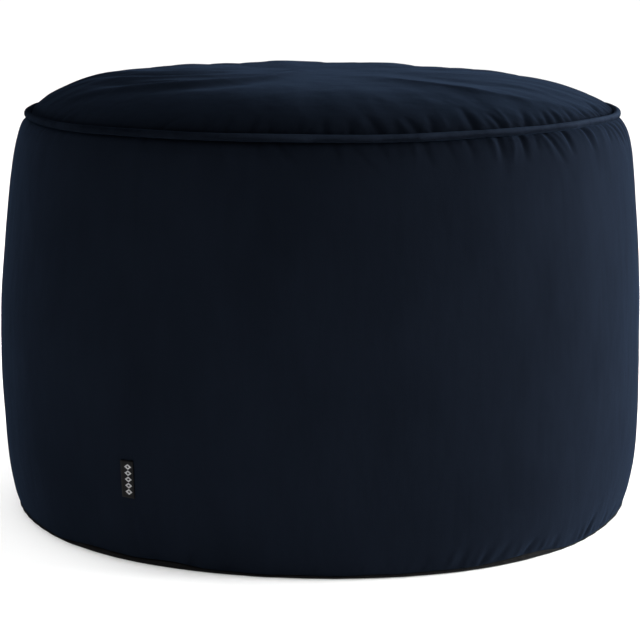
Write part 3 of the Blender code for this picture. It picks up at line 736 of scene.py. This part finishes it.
def make_welt(material):
    """The piping round the top seam: velvet cut on the bias and drawn round a cord."""
    mesh = bmesh.new()
    middle = SEAM_RADIUS + GAP + WELT_RADIUS
    ring = bmesh.ops.create_circle(mesh, segments=WELT_SIDES, radius=WELT_RADIUS)["verts"]
    for vert in ring:
        vert.co = Vector((middle + vert.co.x, 0, vert.co.y))
    turn_round(mesh, ROUND_COLUMNS)
    azimuth, radius, height = corners_of(mesh)
    turn = np.arctan2(height, radius - middle)
    run = np.radians(azimuth) * SEAM_RADIUS
    chance = Random(12)
    creases = np.zeros_like(run)
    place = 0.0
    while place < 2 * pi * SEAM_RADIUS:
        size = chance.uniform(0.4, 1.0)
        line = turned(np.degrees((run - place + 0.55 * WELT_RADIUS * turn) / SEAM_RADIUS))
        creases += size * np.exp(-(np.radians(line) * SEAM_RADIUS / WELT_CREASE_WIDTH) ** 2)
        place += chance.uniform(0.006, 0.015)
    places = [Vector((cos(a) * 9, sin(a) * 9, 5.0)) for a in np.radians(azimuth)]
    swell = np.array([noise.noise(place) for place in places])
    thick = 1 + WELT_SWELL * swell - WELT_CREASE * creases
    corners = on_round(
        middle + np.cos(turn) * WELT_RADIUS * thick, azimuth,
        seam_height(azimuth) + np.sin(turn) * WELT_RADIUS * thick, TOP_SIDEWAYS,
    )
    # painted light and shade: the cord is painted paler over its top, where light from above falls,
    # and on its right, towards the right lamps; its lower half and its left get painted shade, and
    # its creases are darker too
    over = np.clip((np.sin(turn) + 0.2) / 0.9, 0, 1)
    painted_light_side = np.clip(0.25 + 3 * np.cos(np.radians(azimuth - PAINTED_LIGHT_AZIMUTH)), 0.15, 1)
    pile_and_shade = (0.5 - over * painted_light_side) / SHADE_AND_PRESS_DARKENING + 0.0008 * creases
    return finished("velvet_welt", mesh, corners, material, "welt", pile_and_shade)


def make_base_panel(material):
    """The round base with its low turned-up edge, flat where it stands on the floor."""
    lid = [(inner, BASE_SEAM_HEIGHT) for inner in INNER_RADII]
    rim = [(radius, share * BASE_SEAM_HEIGHT) for radius, share in BASE_EDGE]
    flat = [(radius, 0.0) for radius in BASE_FLAT_RADII]
    mesh = spun(lid + rim + flat, BASE_COLUMNS)
    azimuth, radius, height = corners_of(mesh)
    share = height / BASE_SEAM_HEIGHT
    wide = radius + base_spread(azimuth) * np.clip((radius - 0.18) / 0.055, 0, 1)
    turn = np.radians(azimuth)
    wrinkle = np.sin(turn * BASE_WRINKLES + 3 * np.sin(turn * 9))
    wide += BASE_WRINKLE * wrinkle * np.sin(pi * share) * (radius > 0.23)
    up = share * (base_seam_height(azimuth) - GAP / 2)
    corners = on_round(wide, azimuth, up, BASE_SIDEWAYS)
    return finished("base_cloth_panel", mesh, corners, material, "base_panel")


# The folded label
LABEL_HEIGHT = 0.0275
LABEL_LENGTH = 0.0108
LABEL_CENTRE_HEIGHT = 0.0642
LABEL_AZIMUTH = -122.25  # where it is caught in the seam
LABEL_LIFT = 0.0004
LABEL_REST = 0.0007  # between the band and the middle of the folded label
LABEL_PLY = 0.00034
LABEL_FOLD = 0.00030  # between the two plies
LABEL_CELLS = (44, 24)
LOZENGES = 5  # woven in a row, one above the other
LOZENGE_START = 0.08  # shares of the label's height
LOZENGE_RUN = 0.84
LOZENGE_MIDDLE = 0.42  # share of the label's length, from the seam
LOZENGE_NARROWNESS = (2.2, 3.6)  # up and across
LABEL_RIBS = 62
LABEL_THREADS = 30


def make_label(material):
    """A strip of woven tape, folded over at the left and caught in the upright seam."""
    mesh = bmesh.new()
    cells_along, cells_up = LABEL_CELLS
    bmesh.ops.create_grid(mesh, x_segments=cells_along, y_segments=cells_up, size=0.5)
    heights = [row.height for row in SIDE_SECTION][::-1]
    radii = [row.radius for row in SIDE_SECTION][::-1]
    sideways = [row.sideways for row in SIDE_SECTION][::-1]
    uv = mesh.loops.layers.uv.new("UVMap")
    for face in mesh.faces:
        for loop in face.loops:
            loop[uv].uv = loop.vert.co.x + 0.5, loop.vert.co.y + 0.5
    for vert in mesh.verts:
        along, up = vert.co.x + 0.5, vert.co.y
        # the strip runs out to the fold over its first half and back under itself
        run = 1 - abs(2 * along - 1)
        rounded = min(1.0, 1 - (1 - run) ** 3) if run > 0.9 else run
        front = 1.0 if along < 0.5 else -1.0
        height = LABEL_CENTRE_HEIGHT + up * LABEL_HEIGHT * (1 - 0.012 * run)
        radius = np.interp(height, heights, radii)
        azimuth = LABEL_AZIMUTH - np.degrees(LABEL_LENGTH * rounded / radius)
        rest = side_radius(np.array([height]), np.array([azimuth]), radius)[0]
        curl = LABEL_LIFT * run ** 2 + 0.0002 * sin(3.1 * up + 0.6) * run
        thick = LABEL_FOLD * np.sqrt(max(0.0, 1 - run ** 8))
        out = rest + LABEL_REST + curl + front * thick
        turn = radians(azimuth)
        vert.co = (
            out * cos(turn) + np.interp(height, heights, sideways), out * sin(turn), height,
        )
    bmesh.ops.recalc_face_normals(mesh, faces=mesh.faces)
    bmesh.ops.solidify(mesh, geom=mesh.faces[:], thickness=LABEL_PLY)
    places = [vert.co[:] for vert in mesh.verts]
    return finished("woven_label", mesh, places, material, "side_label")


# Materials: the colours of each cloth where its pile or weave is darkest and palest
VELVET_TONES = ((0.0058, 0.0080, 0.0130), (0.0106, 0.0148, 0.0246))
# the piping's wide spread of tones carries its painted light and painted shade
PIPING_TONES = ((0.0052, 0.0073, 0.0120), (0.0220, 0.0310, 0.0500))
BASE_CLOTH_TONES = ((0.004, 0.004, 0.004), (0.015, 0.015, 0.016))
LABEL_TONES = ((0.0012, 0.0012, 0.0014), (0.0028, 0.0028, 0.0032))
LOZENGE_COLOUR = (0.70, 0.70, 0.71, 1)
BLOOM = (0.34, 0.56, 1.0, 1)  # the blue of the velvet where it turns away
TUFT = 0.0006
VELVET_PATCH = 0.055
PIPING_PATCH = 0.030
BASE_CLOTH_THREADS = 1100.0  # in one metre
# how much each grain of the pile changes the tone, and how high it stands
PATCH_TONE, STREAK_TONE, TUFT_TONE = 0.9, 0.35, 0.5
PATCH_HEIGHT, STREAK_HEIGHT, TUFT_HEIGHT = 0.0016, 0.00022, 0.00011
WEAVE_HEIGHT = 0.0002
RIB_HEIGHT = 0.00003
LOZENGE_HEIGHT = 0.00008


def new_group(name, inputs, outputs):
    """An empty node group with its sockets, and its two ends."""
    group = bpy.data.node_groups.new(name, "ShaderNodeTree")
    for kind, side in ((inputs, "INPUT"), (outputs, "OUTPUT")):
        for label, socket, value in kind:
            made = group.interface.new_socket(name=label, in_out=side, socket_type=socket)
            if value is not None:
                made.default_value = value
    start = group.nodes.new("NodeGroupInput")
    end = group.nodes.new("NodeGroupOutput")
    return group, start, end


def node(tree, kind, **settings):
    """A node with its properties set, and its sockets by name from a dictionary."""
    made = tree.nodes.new(kind)
    for label, value in settings.pop("sockets", {}).items():
        made.inputs[label].default_value = value
    for label, value in settings.items():
        setattr(made, label, value)
    return made


def maths(tree, operation, first, second):
    """A Math node on two values, each a socket or a number."""
    made = tree.nodes.new("ShaderNodeMath")
    made.operation = operation
    for socket, value in zip(made.inputs, (first, second)):
        if isinstance(value, bpy.types.NodeSocket):
            tree.links.new(value, socket)
        else:
            socket.default_value = value
    return made.outputs[0]


def make_pile_group():
    """Short pile: fine tufts, soft patches where it lies another way, and darkening by pressed pile
    and painted shade.
    """
    tree, start, end = new_group(
        "short_pile",
        [("Vector", "NodeSocketVector", None), ("Tuft Size", "NodeSocketFloat", TUFT),
         ("Patch Size", "NodeSocketFloat", 0.05), ("Shade And Pressed", "NodeSocketFloat", 0.0)],
        [("Tone", "NodeSocketFloat", None), ("Height", "NodeSocketFloat", None)],
    )
    link = tree.links.new

    def grain(size, stretch, detail, rough):
        scaled = node(tree, "ShaderNodeVectorMath", operation="DIVIDE")
        sized = node(tree, "ShaderNodeCombineXYZ")
        link(start.outputs["Vector"], scaled.inputs[0])
        link(size, sized.inputs["X"])
        link(size, sized.inputs["Y"])
        link(maths(tree, "MULTIPLY", size, stretch), sized.inputs["Z"])
        link(sized.outputs[0], scaled.inputs[1])
        texture = node(
            tree, "ShaderNodeTexNoise", noise_dimensions="3D",
            sockets={"Scale": 1.0, "Detail": detail, "Roughness": rough},
        )
        link(scaled.outputs[0], texture.inputs["Vector"])
        return texture.outputs["Fac"]

    tufts = grain(start.outputs["Tuft Size"], 1.6, 2.0, 0.6)
    patches = grain(start.outputs["Patch Size"], 1.7, 3.0, 0.55)
    streaks = grain(maths(tree, "MULTIPLY", start.outputs["Patch Size"], 0.16), 5.0, 2.0, 0.5)

    tone = maths(tree, "MULTIPLY", maths(tree, "SUBTRACT", patches, 0.5), PATCH_TONE)
    for texture, share in ((streaks, STREAK_TONE), (tufts, TUFT_TONE)):
        swing_of_tone = maths(tree, "MULTIPLY", maths(tree, "SUBTRACT", texture, 0.5), share)
        tone = maths(tree, "ADD", tone, swing_of_tone)
    # painted shade and pressed pile from the mesh darken the tone; values below zero paint light
    shade_and_pressed = maths(tree, "MULTIPLY", start.outputs["Shade And Pressed"], SHADE_AND_PRESS_DARKENING)
    tone = maths(tree, "SUBTRACT", tone, shade_and_pressed)
    tone = maths(tree, "ADD", tone, 0.5)
    clamped = node(tree, "ShaderNodeClamp")
    link(tone, clamped.inputs["Value"])
    link(clamped.outputs[0], end.inputs["Tone"])

    height = maths(tree, "MULTIPLY", tufts, TUFT_HEIGHT)
    for texture, rise in ((patches, PATCH_HEIGHT), (streaks, STREAK_HEIGHT)):
        height = maths(tree, "ADD", height, maths(tree, "MULTIPLY", texture, rise))
    link(height, end.inputs["Height"])
    return tree


def principled(name):
    material = bpy.data.materials.new(name)
    material.use_nodes = True
    return material, material.node_tree, material.node_tree.nodes["Principled BSDF"]


def colour_socket(sockets, name):
    """A Mix node's colour socket of a name, because its other kinds have the same names."""
    return next(s for s in sockets if s.type == "RGBA" and s.name == name)


def toned(tree, factor, tones):
    """A colour between the darkest and the palest of a cloth, by a factor."""
    ramp = node(tree, "ShaderNodeMix", data_type="RGBA")
    for name, tone in zip("AB", tones):
        colour_socket(ramp.inputs, name).default_value = (*tone, 1)
    tree.links.new(factor, ramp.inputs["Factor"])
    return colour_socket(ramp.outputs, "Result")


def roughened(tree, shader, factor, dullest, glossiest):
    """Makes a cloth glossier where a factor is high."""
    rough = node(tree, "ShaderNodeMapRange", sockets={"To Min": dullest, "To Max": glossiest})
    tree.links.new(factor, rough.inputs["Value"])
    tree.links.new(rough.outputs["Result"], shader.inputs["Roughness"])


def raised(tree, shader, height):
    """Gives a cloth its fine relief, from a height in metres."""
    bump = node(tree, "ShaderNodeBump", sockets={"Strength": 1.0, "Distance": 1.0})
    tree.links.new(height, bump.inputs["Height"])
    tree.links.new(bump.outputs["Normal"], shader.inputs["Normal"])


def velvet_material(name, group, patch, tones, sheen):
    """Short-pile velvet: nearly black face on, and a blue-grey bloom where it turns away."""
    material, tree, shader = principled(name)
    place = node(tree, "ShaderNodeTexCoord")
    # pressed pile with painted shade and painted light, from the mesh, goes into the tone
    shade_and_pressed = node(
        tree, "ShaderNodeAttribute", attribute_type="GEOMETRY", attribute_name="pressed_pile_and_painted_shade",
    )
    pile_and_shade = node(tree, "ShaderNodeGroup", node_tree=group)
    pile_and_shade.inputs["Tuft Size"].default_value = TUFT
    pile_and_shade.inputs["Patch Size"].default_value = patch
    tree.links.new(place.outputs["Object"], pile_and_shade.inputs["Vector"])
    tree.links.new(shade_and_pressed.outputs["Fac"], pile_and_shade.inputs["Shade And Pressed"])
    tree.links.new(toned(tree, pile_and_shade.outputs["Tone"], tones), shader.inputs["Base Color"])
    roughened(tree, shader, pile_and_shade.outputs["Tone"], 0.92, 0.70)
    raised(tree, shader, pile_and_shade.outputs["Height"])
    shader.inputs["Specular IOR Level"].default_value = 0.0
    shader.inputs["Sheen Weight"].default_value = sheen
    shader.inputs["Sheen Roughness"].default_value = 0.38
    shader.inputs["Sheen Tint"].default_value = BLOOM
    return material


def make_weave_group():
    """Plain weave: warp and weft that pass over and under each other, with uneven threads."""
    tree, start, end = new_group(
        "plain_weave",
        [("Vector", "NodeSocketVector", None), ("Threads", "NodeSocketFloat", 900.0)],
        [("Tone", "NodeSocketFloat", None), ("Height", "NodeSocketFloat", None)],
    )
    link = tree.links.new
    counted = node(tree, "ShaderNodeVectorMath", operation="SCALE")
    link(start.outputs["Vector"], counted.inputs[0])
    link(start.outputs["Threads"], counted.inputs["Scale"])
    wobble = node(
        tree, "ShaderNodeTexNoise", noise_dimensions="3D", sockets={"Scale": 0.12, "Detail": 2.0},
    )
    link(counted.outputs[0], wobble.inputs["Vector"])
    split = node(tree, "ShaderNodeSeparateXYZ")
    link(counted.outputs[0], split.inputs[0])
    threads = []
    for axis in "XY":
        across = maths(tree, "ADD", split.outputs[axis], wobble.outputs["Fac"])
        threads.append(maths(tree, "SINE", maths(tree, "MULTIPLY", across, pi), 0.0))
    over = maths(tree, "MULTIPLY", *threads)
    rounded = maths(tree, "MAXIMUM", *(maths(tree, "ABSOLUTE", t, 0.0) for t in threads))
    crossing = maths(tree, "MULTIPLY", over, 0.4)
    height = maths(tree, "ADD", crossing, maths(tree, "MULTIPLY", rounded, 0.6))
    uneven_dye = maths(tree, "MULTIPLY", wobble.outputs["Fac"], 0.6)
    tone = maths(tree, "ADD", maths(tree, "MULTIPLY", height, 0.5), uneven_dye)
    clamped = node(tree, "ShaderNodeClamp")
    link(tone, clamped.inputs["Value"])
    link(clamped.outputs[0], end.inputs["Tone"])
    link(maths(tree, "MULTIPLY", height, WEAVE_HEIGHT), end.inputs["Height"])
    return tree


def base_cloth_material(group):
    """Charcoal woven cloth, matt, with uneven threads."""
    material, tree, shader = principled("charcoal_weave")
    place = node(tree, "ShaderNodeTexCoord")
    weave = node(tree, "ShaderNodeGroup", node_tree=group)
    weave.inputs["Threads"].default_value = BASE_CLOTH_THREADS
    tree.links.new(place.outputs["Object"], weave.inputs["Vector"])
    colour = toned(tree, weave.outputs["Tone"], BASE_CLOTH_TONES)
    tree.links.new(colour, shader.inputs["Base Color"])
    roughened(tree, shader, weave.outputs["Tone"], 0.95, 0.75)
    raised(tree, shader, weave.outputs["Height"])
    shader.inputs["Specular IOR Level"].default_value = 0.08
    return material


def label_material():
    """Black satin tape with a fine rib, a pale woven row of lozenges and plain selvedges."""
    material, tree, shader = principled("black_satin_tape")
    link = tree.links.new
    place = node(tree, "ShaderNodeUVMap", uv_map="UVMap")
    split = node(tree, "ShaderNodeSeparateXYZ")
    link(place.outputs["UV"], split.inputs[0])
    across = maths(tree, "MULTIPLY", split.outputs["X"], 2.0)  # 0 at the seam, 1 at the fold
    up = split.outputs["Y"]
    rib = maths(tree, "SINE", maths(tree, "MULTIPLY", up, 2 * pi * LABEL_RIBS), 0.0)
    thread = maths(tree, "SINE", maths(tree, "MULTIPLY", across, 2 * pi * LABEL_THREADS), 0.0)
    # hollow lozenges, one above the other, on the outer face only
    lower_end = maths(tree, "SUBTRACT", up, LOZENGE_START)
    step = maths(tree, "MULTIPLY", lower_end, LOZENGES / LOZENGE_RUN)
    cell = maths(tree, "SUBTRACT", maths(tree, "FRACT", step, 0.0), 0.5)
    beside = maths(tree, "SUBTRACT", across, LOZENGE_MIDDLE)
    tall, wide = (
        maths(tree, "MULTIPLY", maths(tree, "ABSOLUTE", way, 0.0), narrowness)
        for way, narrowness in zip((cell, beside), LOZENGE_NARROWNESS)
    )
    reach = maths(tree, "ADD", tall, wide)
    outline = maths(tree, "LESS_THAN", reach, 1.0)
    hollow = maths(tree, "GREATER_THAN", reach, 0.42)
    above, below = maths(tree, "GREATER_THAN", step, 0.0), maths(tree, "LESS_THAN", step, LOZENGES)
    mark = maths(tree, "MULTIPLY", maths(tree, "MULTIPLY", outline, hollow),
                 maths(tree, "MULTIPLY", above, below))
    dense = maths(tree, "ADD", maths(tree, "MULTIPLY", thread, 0.12), 0.85)
    tape = toned(tree, maths(tree, "ADD", maths(tree, "MULTIPLY", rib, 0.5), 0.5), LABEL_TONES)
    colour = node(tree, "ShaderNodeMix", data_type="RGBA")
    link(maths(tree, "MULTIPLY", mark, dense), colour.inputs["Factor"])
    link(tape, colour_socket(colour.inputs, "A"))
    colour_socket(colour.inputs, "B").default_value = LOZENGE_COLOUR
    link(colour_socket(colour.outputs, "Result"), shader.inputs["Base Color"])
    rough = maths(tree, "ADD", maths(tree, "MULTIPLY", rib, 0.06), 0.55)
    link(rough, shader.inputs["Roughness"])
    shader.inputs["Specular IOR Level"].default_value = 0.16
    ribs = maths(tree, "MULTIPLY", rib, RIB_HEIGHT)
    raised(tree, shader, maths(tree, "ADD", ribs, maths(tree, "MULTIPLY", mark, LOZENGE_HEIGHT)))
    return material


# The studio
SoftBox = namedtuple("SoftBox", "name place aim width height power")

SOFT_BOXES = [
    SoftBox("right_box", (2.3, -0.3, 0.9), (0, 0, 0.2), 1.0, 1.4, 33),
    SoftBox("right_rear_box", (2.3, 0.8, 0.5), (0, 0, 0.2), 1.0, 0.8, 64),
    SoftBox("left_rear_box", (-1.3, 1.0, 1.6), (-0.1, 0, 0.3), 1.0, 0.6, 6),
    SoftBox("overhead", (-0.6, -0.4, 2.6), (0, 0, 0.2), 1.6, 1.6, 8),
]
FLOOR_WASH = SoftBox("floor_wash", (0, 6.0, 8.0), (0, 6.0, 0), 32.0, 32.0, 4700)
SURROUND_STRENGTH = 0.02  # of the light from all round, which the camera sees as white
FLOOR_RADIUS = 30.0
CAMERA_LENS = 129.52
CAMERA_SENSOR = 36.0
CAMERA_PLACE = (-0.000623, -1.79366, 0.46696)
CAMERA_DIP = 0.17971  # below the level, in radians


def make_floor():
    """A plain pale studio floor."""
    mesh = bmesh.new()
    bmesh.ops.create_circle(mesh, cap_ends=True, segments=96, radius=FLOOR_RADIUS)
    data = bpy.data.meshes.new("studio_floor")
    mesh.to_mesh(data)
    mesh.free()
    material, tree, shader = principled("pale_floor")
    shader.inputs["Base Color"].default_value = (0.86, 0.86, 0.86, 1)
    shader.inputs["Roughness"].default_value = 0.9
    shader.inputs["Specular IOR Level"].default_value = 0.1
    data.materials.append(material)
    floor = bpy.data.objects.new("studio_floor", data)
    bpy.context.scene.collection.objects.link(floor)
    return floor


def soft_light(name, place, aim, width, height, power):
    """A soft box that faces a point."""
    data = bpy.data.lights.new(name, "AREA")
    data.shape = "RECTANGLE"
    data.size = width
    data.size_y = height
    data.energy = power
    light = bpy.data.objects.new(name, data)
    light.location = place
    light.rotation_euler = (Vector(aim) - Vector(place)).to_track_quat("-Z", "Y").to_euler()
    bpy.context.scene.collection.objects.link(light)
    return light


def light_studio(floor):
    """Two soft boxes at the right, weak ones overhead and at the left, and a white floor."""
    for box in SOFT_BOXES:
        soft_light(*box)
    # the wash lights the floor alone and is hidden by nothing else, so that the floor is white
    wash = soft_light(*FLOOR_WASH)
    lit = bpy.data.collections.new("washed_floor")
    lit.objects.link(floor)
    wash.light_linking.receiver_collection = lit
    wash.light_linking.blocker_collection = lit
    wash.data.cycles.max_bounces = 0
    world = bpy.data.worlds.new("studio")
    world.use_nodes = True
    tree = world.node_tree
    surround = tree.nodes["Background"]
    surround.inputs["Color"].default_value = (1, 1, 1, 1)
    path = tree.nodes.new("ShaderNodeLightPath")
    strength = maths(tree, "MAXIMUM", path.outputs["Is Camera Ray"], SURROUND_STRENGTH)
    tree.links.new(strength, surround.inputs["Strength"])
    bpy.context.scene.world = world
    bpy.context.scene.view_settings.view_transform = "Standard"


def make_camera():
    data = bpy.data.cameras.new("camera")
    data.lens = CAMERA_LENS
    data.sensor_width = CAMERA_SENSOR
    camera = bpy.data.objects.new("camera", data)
    camera.location = CAMERA_PLACE
    camera.rotation_euler = (pi / 2 - CAMERA_DIP, 0, 0)
    bpy.context.scene.collection.objects.link(camera)
    bpy.context.scene.camera = camera


def main():
    make_camera()
    light_studio(make_floor())
    pile_and_shade = make_pile_group()
    weave = make_weave_group()
    velvet = velvet_material("navy_velvet", pile_and_shade, VELVET_PATCH, VELVET_TONES, 0.08)
    piping = velvet_material("navy_velvet_piping", pile_and_shade, PIPING_PATCH, PIPING_TONES, 0.05)
    make_side_band(velvet)
    make_top_panel(velvet)
    make_welt(piping)
    make_base_panel(base_cloth_material(weave))
    make_label(label_material())


main()
